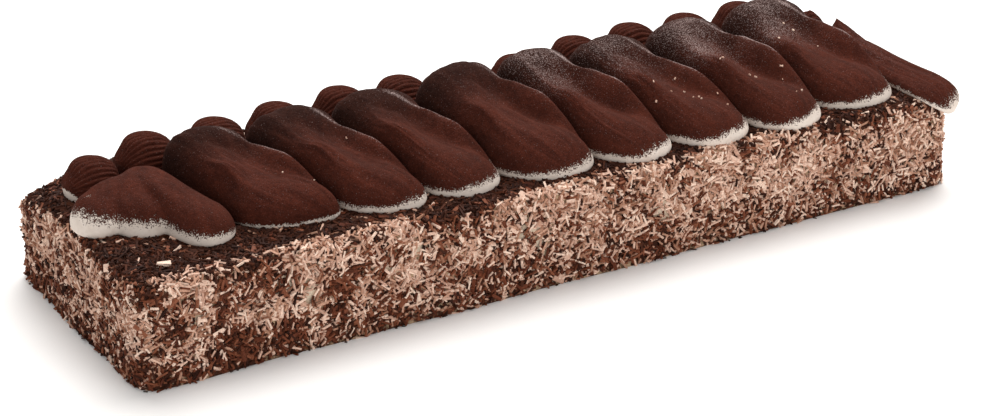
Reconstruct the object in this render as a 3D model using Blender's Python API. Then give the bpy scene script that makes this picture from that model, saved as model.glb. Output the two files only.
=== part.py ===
"""Tiramisu bar cake: a long slab coated in chocolate vermicelli, ten smooth cream petals laid
across its top, and a row of piped rosettes along the back edge.

Metres, +Z up. The origin is the centre of the flat underside; +X runs along the cake and the
front long side faces -Y. Lengths below are in millimetres on a plan whose zero is the front
left corner of the slab, and place() moves them into the frame.
"""
import math
import random

import bmesh
import bpy
from mathutils import Matrix, Vector, noise

MM = 0.001
SHARP_ANGLE = math.radians(40)

# Slab
LENGTH = 360.0
WIDTH = 112.0
HEIGHT = 40.0
SAG = 0.05                # the right end stands this share lower than the left end
CORNER_RADIUS = 7.0
TOP_RADIUS = 4.0
FOOT_FLARE = 1.0
FOOT_HEIGHT = 4.0
WALL_UNEVENNESS = 1.4
UNEVENNESS_SIZE = 38.0
PANELS_ALONG = 12
PANELS_ACROSS = 4
SHOULDER_DROP = 9.5       # the back left corner of the top sinks this much
SHOULDER_REACH = 26.0
GAP = 0.32                # air between neighbouring pieces

# Vermicelli fused to the slab
STRAND_LENGTH = 4.2
STRAND_THICKNESS = 1.1
STRAND_COLUMN = 12.0
STRAND_ROWS = (8.0, 19.0, 30.0)
STRAND_SEAT = 0.25        # the middle of a strand stands this far out of the coat
STRAND_JITTER = 2.8
LEDGE_STRAND_STEP = 13.0
LEDGE_MARGIN = 15.0
OPEN_LEDGE = 48.0         # the top is bare in front of the corner petal up to here
SEED = 12

# Petals: x and y of the front tip, x of the dome, right limit at the front, lobe and dome height
PETALS = (
    (88, 19, 54, 100.0, 14.0, 24.5),
    (118, 12, 93, 131.5, 14.5, 25.5),
    (144, 11, 128, 163.5, 15.0, 25.5),
    (186, 8, 168, 202.5, 17.0, 29.0),
    (219, 5, 200, 236.0, 15.0, 28.5),
    (254, 4, 235, 271.5, 15.0, 27.0),
    (287, 2, 272, 305.0, 15.5, 27.5),
    (325, 6, 311, 343.0, 15.0, 29.0),
)
PETAL_FRONT = 8.0                   # the limits between petals are straight lines from here
PETAL_BACK = 78.0                   # to here
PETAL_FIRST_LEFT = (61.5, 40.5)     # left limit of the second petal, at its front and its back
PETAL_LAST_BACK = 332.5             # right limit of the ninth petal at its back
LOBE_AT = 0.27                      # share of the length where the front lobe is widest
DOME_AT = 0.84                      # share of the length where the dome is highest
WAIST_WIDTH = 0.07
WAIST_LIFT = 2.0
DOME_WIDTH = 1.0
# How far the middle of a petal leans to the right, in half widths, at shares of the length
BODY_LEAN = ((0.0, 0.0), (0.2, -0.3), (0.45, -0.5), (0.84, -0.15), (1.0, -0.15))
SHOULDER_LIFT = 2.5                 # how much the lobe rises towards the dome
CREST_HEIGHTS = (0.78, 0.75, 0.75, 0.83, 0.82, 0.75, 0.86, 0.74)    # right ridges, in dome heights
CREST_SPAN = (0.02, 0.48, 0.62)     # shares of the length where it starts, is full, joins the dome
CREST_FROM_EDGE = (3.0, 4.5)
CREST_REACH = 12.0
HOLLOW_DEPTH = 1.8                  # of the trough beside the crest
LEFT_RIDGE = 5.0                    # ridge down the left side, over the lobe
LEFT_SPAN = (0.08, 0.42, 0.72)      # shares of the length where it starts, is full and ends
LEFT_AT = 3.5
LEFT_REACH = 11.0
BLEND = 3.0
RIM_HEIGHT = 2.2
RIM_TUCK = 1.6
SECTION_POWER = 2.3
RIGHT_POWER = 1.9
LEFT_POWER = 3.2
DOME_POWER = 3.0
END_POWER = 2.5
PLAN_POWER = 2.5                    # over 2 makes the ends of a petal blunter than an ellipse
PETAL_RINGS = 12
ARC_STEPS = 10

# Corner petals: front tip, back tip, half width, lobe height, dome height
CORNER_LOBES = (
    ((0.5, 51.5), (36.0, 68.0), 10.5, 13.0, 13.5),
    ((20.0, 38.5), (34.0, 72.5), 11.0, 13.5, 15.0),
    ((43.5, 20.0), (29.5, 75.0), 11.5, 13.5, 16.0),
)
END_PETAL = ((355.5, -7.0), (347.5, 62.5), 10.0, 6.5, 9.5)
END_LEAN = ((0.0, 0.0), (1.0, -0.2))
END_PEAK = 15.5                     # the back end is pulled up to a point
END_PEAK_SPAN = 0.45                # share of the length over which it rises
END_LIFT = -1.0
END_DROOP = 0.04
DROOP_FROM = 3.0

# Rosettes: the first four lie apart, the rest stand in an even row; x, y, radius, height
FIRST_ROSETTES = (
    (19.5, 85.5, 12.0, 15.0),
    (44.5, 91.0, 13.2, 17.5),
    (74.5, 92.5, 13.2, 16.5),
    (101.0, 92.5, 13.2, 17.5),
)
ROW_START = 129.0
ROW_PITCH = 27.1
ROW_Y = 92.5
ROW_RADIUS = 13.2
ROW_HEIGHTS = (18.5, 17.5, 15.5, 15.5, 18.5, 19.0, 18.0, 18.0)
ROSETTE_TURNS = 2.0
ROSETTE_RIDGE = 0.7
ROSETTE_RINGS = 9
ROSETTE_SEGMENTS = 14
DOLLOP = (350.0, 86.0, 7.5, 10.5)

COLORS = {
    "coated_crumb": (0.36, 0.21, 0.13, 1.0),
    "dusted_cream": (0.13, 0.035, 0.02, 1.0),
}


def clear_scene():
    for old in list(bpy.data.objects):
        bpy.data.objects.remove(old, do_unlink=True)


def new_collection(name):
    collection = bpy.data.collections.new(name)
    bpy.context.scene.collection.children.link(collection)
    return collection


def new_material(name):
    material = bpy.data.materials.new(name)
    material.use_nodes = True
    shader = material.node_tree.nodes["Principled BSDF"]
    shader.inputs["Base Color"].default_value = COLORS[name]
    shader.inputs["Roughness"].default_value = 0.85
    shader.inputs["Metallic"].default_value = 0.0
    return material


def place(x, y, z):
    """Plan millimetres to metres in the frame, with the height easing down to the right."""
    settled = z * (1.0 - SAG * x / LENGTH)
    return Vector(((x - LENGTH / 2) * MM, (y - WIDTH / 2) * MM, settled * MM))


def add_object(name, bm, material, collection):
    bmesh.ops.recalc_face_normals(bm, faces=bm.faces)
    mesh = bpy.data.meshes.new(name)
    bm.to_mesh(mesh)
    bm.free()
    mesh.shade_smooth()
    mesh.set_sharp_from_angle(angle=SHARP_ANGLE)
    mesh.materials.append(material)
    made = bpy.data.objects.new(name, mesh)
    collection.objects.link(made)
    return made


def skin_rings(bm, start, rings, end):
    """Close a surface that runs from a first tip through equal rings to a last tip."""
    first = bm.verts.new(start)
    last = bm.verts.new(end)
    loops = [[bm.verts.new(point) for point in ring] for ring in rings]
    count = len(loops[0])
    for side in range(count):
        following = (side + 1) % count
        bm.faces.new((first, loops[0][following], loops[0][side]))
        bm.faces.new((last, loops[-1][side], loops[-1][following]))
        for near, far in zip(loops, loops[1:]):
            bm.faces.new((near[side], near[following], far[following], far[side]))


def union(base, pieces, name):
    """Join the pieces of a collection to the base with one applied Boolean."""
    joiner = base.modifiers.new(name, "BOOLEAN")
    joiner.operation = "UNION"
    joiner.operand_type = "COLLECTION"
    joiner.collection = pieces
    joiner.solver = "EXACT"
    evaluated = base.evaluated_get(bpy.context.evaluated_depsgraph_get())
    joined = bpy.data.meshes.new_from_object(evaluated)
    joined.shade_smooth()
    joined.set_sharp_from_angle(angle=SHARP_ANGLE)
    base.modifiers.clear()
    base.data = joined
    for piece in list(pieces.objects):
        bpy.data.objects.remove(piece, do_unlink=True)
    bpy.data.collections.remove(pieces)


# ---------------------------------------------------------------- slab

def waver(at):
    """How far the coat stands in or out of the true wall at a point of the plan."""
    foot = FOOT_FLARE * max(0.0, 1.0 - at.z / FOOT_HEIGHT)
    return noise.noise(at / UNEVENNESS_SIZE) * WALL_UNEVENNESS + foot


def slab_mesh():
    """A box with round corners and a soft top edge, cut into panels so its walls can waver."""
    bm = bmesh.new()
    bmesh.ops.create_cube(bm, size=1.0)
    half = Vector((0.5, 0.5, 0.5))
    for vert in bm.verts:
        at = vert.co + half
        vert.co = Vector((at.x * LENGTH, at.y * WIDTH, at.z * HEIGHT))
    upright = [e for e in bm.edges if abs(e.verts[0].co.z - e.verts[1].co.z) > 1.0]
    bmesh.ops.bevel(bm, geom=upright, offset=CORNER_RADIUS, segments=4, profile=0.5, affect="EDGES")
    top = [e for e in bm.edges if min(e.verts[0].co.z, e.verts[1].co.z) > HEIGHT - 0.01]
    bmesh.ops.bevel(bm, geom=top, offset=TOP_RADIUS, segments=3, profile=0.5, affect="EDGES")
    along = [LENGTH * k / PANELS_ALONG for k in range(1, PANELS_ALONG)]
    across = [WIDTH * k / PANELS_ACROSS for k in range(1, PANELS_ACROSS)]
    cuts = [(Vector((x, 0, 0)), Vector((1, 0, 0))) for x in along]
    cuts += [(Vector((0, y, 0)), Vector((0, 1, 0))) for y in across]
    cuts += [(Vector((0, 0, z)), Vector((0, 0, 1))) for z in (FOOT_HEIGHT, HEIGHT / 2)]
    for at, normal in cuts:
        walls = [f for f in bm.faces if abs(f.normal.z) < 0.98]
        around = {part for f in walls for part in (*f.verts, *f.edges)}
        bmesh.ops.bisect_plane(bm, geom=[*around, *walls], plane_co=at, plane_no=normal)
        bm.normal_update()
    for reach in (SHOULDER_REACH / 2, SHOULDER_REACH):
        for at, normal in (((reach, 0, 0), (1, 0, 0)), ((0, WIDTH - reach, 0), (0, 1, 0))):
            everything = [*bm.verts, *bm.edges, *bm.faces]
            bmesh.ops.bisect_plane(bm, geom=everything, plane_co=at, plane_no=normal)
    middle = Vector((LENGTH / 2, WIDTH / 2, 0))
    inner = Vector((LENGTH / 2 - CORNER_RADIUS, WIDTH / 2 - CORNER_RADIUS, 0))
    for vert in bm.verts:
        offset = vert.co - middle
        core = Vector((max(-inner.x, min(inner.x, offset.x)), max(-inner.y, min(inner.y, offset.y)), 0))
        outward = Vector((offset.x - core.x, offset.y - core.y, 0))
        if outward.length > 0.5 and vert.co.z < HEIGHT - 0.01:
            vert.co += outward.normalized() * waver(vert.co)
        away = (Vector((vert.co.x, vert.co.y - WIDTH, 0))).length / SHOULDER_REACH
        if away < 1.0:
            vert.co.z -= SHOULDER_DROP * (1 - away) * (vert.co.z / HEIGHT) ** 3
    for vert in bm.verts:
        vert.co = place(*vert.co)
    bmesh.ops.triangulate(bm, faces=bm.faces)
    return bm


def add_strand(pieces, material, at, along, outward):
    """One four-sided strand, its length along one direction and leaning out of the coat."""
    bm = bmesh.new()
    radius = STRAND_THICKNESS / math.sqrt(2) * MM
    bmesh.ops.create_cone(bm, cap_ends=True, segments=4, radius1=radius, radius2=radius * 0.8,
                          depth=STRAND_LENGTH * MM)
    axis = along.normalized()
    side = outward.cross(axis).normalized()
    turned = Matrix((side, axis.cross(side), axis)).transposed().to_4x4()
    bmesh.ops.transform(bm, matrix=Matrix.Translation(at) @ turned, verts=bm.verts)
    add_object("strand", bm, material, pieces)


def wall_point(distance, height):
    """Walk round the slab's walls: the point there and the direction out of the wall."""
    straight_x = LENGTH - 2 * CORNER_RADIUS
    straight_y = WIDTH - 2 * CORNER_RADIUS
    bend = CORNER_RADIUS * math.pi / 2
    stretches = (
        (straight_x, (CORNER_RADIUS, 0.0), (1, 0)),
        (straight_y, (LENGTH, CORNER_RADIUS), (0, 1)),
        (straight_x, (LENGTH - CORNER_RADIUS, WIDTH), (-1, 0)),
        (straight_y, (0.0, WIDTH - CORNER_RADIUS), (0, -1)),
    )
    for length, (x, y), (dx, dy) in stretches:
        if distance < length:
            return (x + dx * distance, y + dy * distance, height), Vector((dy, -dx, 0))
        distance -= length
        if distance < bend:
            turn = distance / CORNER_RADIUS
            end = Vector((x + dx * length, y + dy * length, 0))
            out = Vector((dy, -dx, 0)) * math.cos(turn) + Vector((dx, dy, 0)) * math.sin(turn)
            centre = end - Vector((dy, -dx, 0)) * CORNER_RADIUS
            at = centre + out * CORNER_RADIUS
            return (at.x, at.y, height), out
        distance -= bend
    return (CORNER_RADIUS, 0.0, height), Vector((0, -1, 0))


def add_wall_strands(pieces, material, draw):
    around = 2 * (LENGTH + WIDTH) - (8 - 2 * math.pi) * CORNER_RADIUS
    columns = round(around / STRAND_COLUMN)
    for row, height in enumerate(STRAND_ROWS):
        for column in range(columns):
            walk = (column + 0.5 * (row % 2) + draw.uniform(-0.22, 0.22)) * around / columns
            level_at = height + draw.uniform(-STRAND_JITTER, STRAND_JITTER)
            plan, outward = wall_point(walk % around, level_at)
            plan = Vector(plan) + outward * (waver(Vector(plan)) + STRAND_SEAT)
            level = Vector((-outward.y, outward.x, 0))
            turn = draw.uniform(0, math.pi)
            lean = draw.uniform(0.2, 0.5)
            along = level * math.cos(turn) + Vector((0, 0, 1)) * math.sin(turn) + outward * lean
            add_strand(pieces, material, place(*plan), along, outward)


def add_ledge_strands(pieces, material, draw):
    """Strands lying on the bare strip of the top, in front of the petals and behind the rosettes."""
    columns = int((LENGTH - 2 * LEDGE_MARGIN) / LEDGE_STRAND_STEP)
    for column in range(columns):
        x = LEDGE_MARGIN + column * LEDGE_STRAND_STEP + draw.uniform(-2, 2)
        spots = [(x, WIDTH - 3.2)] if x > SHOULDER_REACH else []
        if x < OPEN_LEDGE:
            spots += [(x, 7.0), (x - 4, 18.0)] if x < OPEN_LEDGE / 2 else [(x, 6.5)]
        for spot_x, spot_y in spots:
            turn = draw.uniform(-0.5, 0.5)
            along = Vector((math.cos(turn), math.sin(turn), 0.05))
            at = place(spot_x, spot_y, HEIGHT) + Vector((0, 0, 0.1 * MM))
            add_strand(pieces, material, at, along, Vector((0, 0, 1)))


def build_slab(parts, material):
    draw = random.Random(SEED)
    slab = add_object("cake_body", slab_mesh(), material, parts)
    pieces = new_collection("strands")
    add_wall_strands(pieces, material, draw)
    add_ledge_strands(pieces, material, draw)
    union(slab, pieces, "coat")


# ---------------------------------------------------------------- petals

def along_profile(share, lobe, dome, dip, power):
    """Round front lobe, eased waist, round back dome: the value at a share of the length."""
    if share <= LOBE_AT:
        return lobe * (1 - ((LOBE_AT - share) / LOBE_AT) ** power) ** (1 / power)
    if share >= DOME_AT:
        return dome * (1 - ((share - DOME_AT) / (1 - DOME_AT)) ** power) ** (1 / power)
    between = (share - LOBE_AT) / (DOME_AT - LOBE_AT)
    eased = between * between * (3 - 2 * between)
    return lobe + (dome - lobe) * eased - dip * math.sin(math.pi * between)


def eased_between(knots, share):
    """The value at a share of the length, eased from each knot to the next."""
    for (start, low), (end, high) in zip(knots, knots[1:]):
        if share <= end:
            part = (share - start) / (end - start)
            return low + (high - low) * part * part * (3 - 2 * part)
    return knots[-1][1]


def smooth_step(low, high, value):
    part = min(1.0, max(0.0, (value - low) / (high - low)))
    return part * part * (3 - 2 * part)


def ridged(across, up, rise, left_edge, right_edge, ridge, ridge_at, hollow, swell):
    """Height of a petal with the crest on its right, the trough beside it and the left ridge."""
    off = across - ridge_at
    if off > 0:
        fall = max(0.0, 1 - (off / (right_edge - ridge_at)) ** 2.5) ** 0.4
    else:
        fall = max(0.0, 1 - (-off / CREST_REACH) ** 1.6)
    over = RIM_HEIGHT + (ridge - RIM_HEIGHT) * fall
    from_left = across + left_edge
    slope = max(0.0, 1 - ((from_left - LEFT_AT) / LEFT_REACH) ** 2) if from_left > LEFT_AT else rise
    up += LEFT_RIDGE * swell * slope * slope
    up -= HOLLOW_DEPTH * math.exp(-((off + 9) / 4) ** 2) * hollow * rise
    soft = BLEND * min(1.0, 2 * rise) + 0.001
    near = max(soft - abs(up - over), 0.0) / soft
    return max(up, over) + near * near * soft / 4


def petal_section(share, left, right, lobe, dome, lean, lift, peak, crest):
    """Offsets (across, up) of one ring of a petal, from its middle line."""
    width = along_profile(share, 1.0, DOME_WIDTH, WAIST_WIDTH, PLAN_POWER)
    end = END_POWER if crest and share > LOBE_AT else 2.0
    height = RIM_HEIGHT + along_profile(share, lobe, dome, -lift, end) * (1 - RIM_HEIGHT / dome)
    pulled = max(0.0, 1 - (1 - share) / END_PEAK_SPAN)
    height = max(height, peak * pulled ** 1.5)
    starts, full, turns = CREST_SPAN
    turning = smooth_step(turns, DOME_AT, share)
    if crest and LOBE_AT < share < DOME_AT:
        shoulder = lobe + SHOULDER_LIFT * smooth_step(LOBE_AT, full, share)
        climbed = smooth_step(full, DOME_AT, share)
        height = RIM_HEIGHT + (shoulder + (dome - shoulder) * climbed) * (1 - RIM_HEIGHT / dome)
    middle = eased_between(lean, share) * right * width
    edge = right * width
    rising = smooth_step(starts, full, share)
    ridge = RIM_HEIGHT + (crest * dome - RIM_HEIGHT) * rising * (1 - turning)
    ridge += (height - RIM_HEIGHT) * turning
    inner = CREST_FROM_EDGE[0] + (CREST_FROM_EDGE[1] - CREST_FROM_EDGE[0]) * rising
    ridge_at = (edge - inner) * (1 - turning) + middle * turning
    starts, full, ends = LEFT_SPAN
    swell = smooth_step(starts, full, share) * (1 - smooth_step(full, ends, share))
    right_power = left_power = SECTION_POWER
    if crest:
        right_power = RIGHT_POWER + (DOME_POWER - RIGHT_POWER) * turning
        left_power = LEFT_POWER + (DOME_POWER - LEFT_POWER) * turning
    ring = []
    for step in range(ARC_STEPS + 1):
        angle = math.pi * step / ARC_STEPS
        power = right_power if step * 2 <= ARC_STEPS else left_power
        reach = abs(math.cos(angle)) ** (2 / power)
        rise = math.sin(angle) ** (2 / power) if 0 < step < ARC_STEPS else 0.0
        if step * 2 <= ARC_STEPS:
            across = middle + (edge - middle) * reach
        else:
            across = middle - (left * width + middle) * reach
        up = RIM_HEIGHT + (height - RIM_HEIGHT) * rise
        if crest:
            hollow = rising * (1 - turning)
            up = ridged(across, up, rise, left * width, edge, ridge, ridge_at, hollow, swell)
        ring.append((across, up))
    tuck = min(RIM_TUCK, 0.3 * width * left)
    ring.append((-left * width + tuck, 0.0))
    ring.append((right * width - tuck, 0.0))
    return ring


def petal_mesh(front, back, across, left, right, lobe, dome, lean=BODY_LEAN, lift=WAIST_LIFT,
               droop=0.0, peak=RIM_HEIGHT, crest=0.0):
    """A petal from its front tip to its back tip; left and right give half widths by share."""
    front = Vector(front)
    line = Vector(back) - front
    rings = []
    for step in range(1, PETAL_RINGS):
        share = (1 - math.cos(math.pi * step / PETAL_RINGS)) / 2
        middle = front + line * share
        ring = []
        for offset, up in petal_section(share, left(share), right(share), lobe, dome, lean, lift,
                                        peak, crest):
            at = middle + across * offset
            fall = droop * max(0.0, DROOP_FROM - at.y) ** 2
            ring.append(place(at.x, at.y, HEIGHT + GAP + up - fall))
        rings.append(ring)
    bm = bmesh.new()
    fall = droop * max(0.0, DROOP_FROM - front.y) ** 2
    tip = place(front.x, front.y, HEIGHT + GAP + RIM_HEIGHT * 0.6 - fall)
    tail = place(back[0], back[1], HEIGHT + GAP + peak)
    skin_rings(bm, tip, rings, tail)
    return bm


def limit_at(limit, front_y, share):
    """Where a limit between two petals lies at a share of one petal's length."""
    y = front_y + (PETAL_BACK - front_y) * share
    return limit[0] + (limit[1] - limit[0]) * (y - PETAL_FRONT) / (PETAL_BACK - PETAL_FRONT)


def build_petals(parts, material):
    left_limit = PETAL_FIRST_LEFT
    for number, (front_x, front_y, dome_x, front_right, lobe, dome) in enumerate(PETALS):
        if number + 1 < len(PETALS):
            right_limit = (front_right, (dome_x + PETALS[number + 1][2]) / 2)
        else:
            right_limit = (front_right, PETAL_LAST_BACK)

        def left(share):
            middle = front_x + (dome_x - front_x) * share
            return middle - limit_at(left_limit, front_y, share) - GAP / 2

        def right(share):
            middle = front_x + (dome_x - front_x) * share
            return limit_at(right_limit, front_y, share) - middle - GAP / 2

        bm = petal_mesh((front_x, front_y), (dome_x, PETAL_BACK), Vector((1, 0)), left, right, lobe,
                        dome, crest=CREST_HEIGHTS[number])
        add_object(f"cream_petal_{number + 2:02d}", bm, material, parts)
        left_limit = right_limit


def square_to(front, back):
    line = (Vector(back) - Vector(front)).normalized()
    return Vector((line.y, -line.x))


def build_corner_petal(parts, material):
    """The first petal fans out round the corner in lobes joined at the back."""
    lobes = []
    for front, back, half, lobe, dome in CORNER_LOBES:
        across = square_to(front, back)
        lobes.append(petal_mesh(front, back, across, lambda s: half, lambda s: half, lobe, dome))
    first = add_object("cream_petal_01", lobes[0], material, parts)
    others = new_collection("other_lobes")
    for mesh in lobes[1:]:
        add_object("lobe", mesh, material, others)
    union(first, others, "lobes")


def build_end_petal(parts, material):
    """The last petal is lower and hangs a little over the front edge."""
    front, back, half, lobe, dome = END_PETAL
    bm = petal_mesh(front, back, square_to(front, back), lambda s: half, lambda s: half, lobe, dome,
                    END_LEAN, END_LIFT, END_DROOP, END_PEAK)
    add_object("cream_petal_10", bm, material, parts)


# ---------------------------------------------------------------- rosettes

def swirl_mesh(x, y, radius, height, turns, ridge, point):
    """A piped mound: a dome whose surface rises and falls along a spiral; point sharpens it."""
    def at(rise, angle):
        turn = math.pi / 2 * rise
        wave = ridge * math.cos(angle - math.tau * turns * rise) * math.cos(turn) ** 0.5
        out = (radius - ridge) * math.cos(turn) ** (0.8 + point) + wave * math.cos(turn)
        up = (height - ridge) * math.sin(turn) + wave * math.sin(turn)
        return place(x + out * math.cos(angle), y + out * math.sin(angle), HEIGHT + GAP + max(0.0, up))

    rings = []
    for ring in range(ROSETTE_RINGS):
        rise = ring / ROSETTE_RINGS
        rings.append([at(rise, math.tau * k / ROSETTE_SEGMENTS) for k in range(ROSETTE_SEGMENTS)])
    bm = bmesh.new()
    skin_rings(bm, place(x, y, HEIGHT + GAP), rings, place(x, y, HEIGHT + GAP + height))
    return bm


def build_rosettes(parts, material):
    row = list(FIRST_ROSETTES)
    for place_in_row, height in enumerate(ROW_HEIGHTS):
        row.append((ROW_START + ROW_PITCH * place_in_row, ROW_Y, ROW_RADIUS, height))
    for number, (x, y, radius, height) in enumerate(row, start=1):
        bm = swirl_mesh(x, y, radius, height, ROSETTE_TURNS, ROSETTE_RIDGE, 0.0)
        add_object(f"rosette_{number:02d}", bm, material, parts)
    x, y, radius, height = DOLLOP
    add_object("rosette_tail", swirl_mesh(x, y, radius, height, 1.0, 0.5, 0.8), material, parts)


clear_scene()
cake = new_collection("tiramisu_cake")
coat = new_material("coated_crumb")
cream = new_material("dusted_cream")
build_slab(cake, coat)
build_corner_petal(cake, cream)
build_petals(cake, cream)
build_end_petal(cake, cream)
build_rosettes(cake, cream)
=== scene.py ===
"""A long tiramisu bar cake: a slab coated in chocolate vermicelli, ten cream petals dusted with cocoa
and a row of piped rosettes. Plan lengths are millimetres from the slab's front left corner."""
import math
import random

import bmesh
import bpy
import numpy as np
from mathutils import Matrix, Quaternion, Vector, noise
from mathutils.bvhtree import BVHTree


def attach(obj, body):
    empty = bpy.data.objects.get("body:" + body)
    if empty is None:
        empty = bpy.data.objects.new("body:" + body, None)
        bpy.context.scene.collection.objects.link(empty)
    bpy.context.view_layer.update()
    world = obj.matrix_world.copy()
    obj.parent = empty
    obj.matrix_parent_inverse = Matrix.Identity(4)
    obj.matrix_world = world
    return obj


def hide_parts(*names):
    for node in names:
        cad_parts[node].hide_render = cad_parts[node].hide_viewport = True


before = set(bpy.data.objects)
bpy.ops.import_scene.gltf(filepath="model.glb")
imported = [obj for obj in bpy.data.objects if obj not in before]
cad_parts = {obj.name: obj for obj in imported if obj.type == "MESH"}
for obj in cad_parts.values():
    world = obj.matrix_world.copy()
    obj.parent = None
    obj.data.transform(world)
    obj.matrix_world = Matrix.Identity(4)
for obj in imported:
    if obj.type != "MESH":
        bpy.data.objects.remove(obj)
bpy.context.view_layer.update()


# ------------------------------------------------------------------ slab
# Layers of soaked sponge and mascarpone cream, masked with a thin coat of cream that the
# vermicelli stick to. Only specks and a few bare smears of the cream show between them.

MM = 0.001
LENGTH = 360.0
WIDTH = 112.0
HEIGHT = 40.0
SAG = 0.05
CORNER_RADIUS = 7.0
TOP_RADIUS = 4.0
FOOT_FLARE = 1.0
FOOT_HEIGHT = 4.0
WALL_UNEVENNESS = 1.4
UNEVENNESS_SIZE = 38.0
SHOULDER_DROP = 9.5
SHOULDER_REACH = 26.0
GAP = 0.32
COAT_STEP = 2.5
COAT_SUNK = 0.25
WALL_RINGS = 15
BEND_RINGS = 4
LID_RINGS = 20
SMEAR_DEPTH = 0.5

# The dark band under the top edge, partly darker strands and partly painted shade under the
# petals: where it starts, how it wavers, and how far it drops at the right
BAND_START = 40.5
BAND_WAVER = 3.0
BAND_WAVE_SIZE = 22.0
BAND_FADE = 5.0
BAND_DROP_FROM = 295.0
BAND_DROP = 6.0

# The share of pale vermicelli: on the long walls left and right, on the left end, on the top and
# at the foot, and how far in from the front edge they climb over the lip. Fewer on the top, at the
# foot and in the dark band: partly darker strands, partly painted shade under the petals and along
# the foot. More on the left end than on the walls: painted light on that end.
PALE_LEFT = 0.54
PALE_RIGHT_GAIN = 0.52
PALE_LEFT_END = 0.64
PALE_ON_TOP = 0.03
PALE_RANGE = (0.02, 0.95)
PATCH_SIZES = (15.0, 6.0)
LIP_RIGHT = 5.5
LIP_LEFT = 7.0
LIP_WAVER = 3.0
# Fewer pale strands at the foot: partly darker strands, partly painted shade
FOOT_SHADE_TOP = 20.0
FOOT_SHADE_FADE = 16.0
FOOT_SHADE = 0.5
BAND_SHADE = 0.85

# Plan x and y between which the petals hide the top, so that no vermicelli are laid there
HIDDEN_X = (42.0, 335.0)
HIDDEN_Y = (30.0, 80.0)

# Bare smears of cream on the coat: plan x, plan y, height, radius
CREAM_SMEARS = (
    (12, 0, 33, 5), (58, 0, 30, 6), (68, 0, 24, 7), (22, 0, 24, 4), (113, 0, 31, 5),
    (101, 0, 26, 6), (95, 0, 31, 4), (160, 0, 26, 7), (166, 0, 20, 7), (220, 0, 22, 8),
    (228, 0, 25, 5), (292, 0, 33, 5), (250, 0, 25, 5), (320, 0, 12, 6), (276, 0, 20, 4),
    (0, 16, 34, 5), (0, 30, 37, 5), (6, 8, 39, 4), (0, 74, 30, 4), (3, 44, 40, 4),
    (360, 30, 26, 6), (360, 70, 20, 7), (70, 112, 26, 7), (160, 112, 20, 8), (250, 112, 27, 7),
)


def clamp(value, low=0.0, high=1.0):
    return min(high, max(low, value))


def linear(code):
    """A colour from its sRGB hex value."""
    parts = [int(code[k:k + 2], 16) / 255 for k in (1, 3, 5)]
    return (*[p / 12.92 if p <= 0.04045 else ((p + 0.055) / 1.055) ** 2.4 for p in parts], 1.0)


def add_node(tree, kind, settings=None, links=None):
    """Add a node, set its properties, then set or link its sockets by name or number."""
    node = tree.nodes.new(kind)
    for name, value in (settings or {}).items():
        setattr(node, name, value)
    for name, value in (links or {}).items():
        if isinstance(value, bpy.types.NodeSocket):
            tree.links.new(value, node.inputs[name])
        else:
            node.inputs[name].default_value = value
    return node


def new_finish(name, roughness):
    """A plain material, its node tree and its shader."""
    finish = bpy.data.materials.new(name)
    finish.use_nodes = True
    shader = finish.node_tree.nodes["Principled BSDF"]
    shader.inputs["Roughness"].default_value = roughness
    return finish, finish.node_tree, shader


def new_object(name, data):
    made = bpy.data.objects.new(name, data)
    bpy.context.collection.objects.link(made)
    return made


def set_floats(mesh, columns):
    """Store named columns of one number a point, for the finishes and the vermicelli to read."""
    for name, values in columns.items():
        mesh.attributes.new(name, "FLOAT", "POINT").data.foreach_set("value", values.astype(np.float32))


def place(x, y, z):
    """Plan millimetres to metres in the frame; the cake has settled a little to the right."""
    settled = z * (1.0 - SAG * x / LENGTH)
    return Vector(((x - LENGTH / 2) * MM, (y - WIDTH / 2) * MM, settled * MM))


def waver(at):
    """How far the wall stands out of its plan, with the coat thicker at the foot."""
    foot = FOOT_FLARE * max(0.0, 1.0 - at.z / FOOT_HEIGHT)
    return noise.noise(at / UNEVENNESS_SIZE) * WALL_UNEVENNESS + foot


def outline_point(walk, inset):
    """A point of the slab's outline moved in by an inset, and the direction out of the wall."""
    straight_x = LENGTH - 2 * CORNER_RADIUS
    straight_y = WIDTH - 2 * CORNER_RADIUS
    bend = CORNER_RADIUS * math.pi / 2
    corners = (
        (straight_x, Vector((CORNER_RADIUS, CORNER_RADIUS)), Vector((1, 0))),
        (straight_y, Vector((LENGTH - CORNER_RADIUS, CORNER_RADIUS)), Vector((0, 1))),
        (straight_x, Vector((LENGTH - CORNER_RADIUS, WIDTH - CORNER_RADIUS)), Vector((-1, 0))),
        (straight_y, Vector((CORNER_RADIUS, WIDTH - CORNER_RADIUS)), Vector((0, -1))),
    )
    for length, start, along in corners:
        side = Vector((along.y, -along.x))
        if walk <= length:
            core, out = start + along * walk, side
            break
        walk -= length
        if walk <= bend:
            turn = walk / CORNER_RADIUS
            core, out = start + along * length, side * math.cos(turn) + along * math.sin(turn)
            break
        walk -= bend
    reach = CORNER_RADIUS - inset
    if reach >= 0:
        at = core + out * reach
    else:
        at = Vector((clamp(core.x, inset, LENGTH - inset), clamp(core.y, inset, WIDTH - inset)))
    return at, out


def cream_smear(at):
    """1 in the middle of a bare smear of cream, falling to 0 at its ragged edge."""
    ragged = 0.75 + 0.9 * noise.noise(at / 2.6) + 0.5 * noise.noise(at / 1.1)
    best = 0.0
    for x, y, z, radius in CREAM_SMEARS:
        away = (at - Vector((x, y, z))).length / (radius * max(0.2, ragged))
        best = max(best, 1.25 - away)
    return clamp(best)


def dark_band(at):
    """0 on the wall, rising to 1 in the dark band under the top edge, which is partly darker
    strands and partly painted shade under the petals.
    """
    band = BAND_START + BAND_WAVER * noise.noise(at / BAND_WAVE_SIZE)
    if at.x > BAND_DROP_FROM:
        band -= BAND_DROP
    return clamp((at.z - band) / BAND_FADE)


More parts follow.
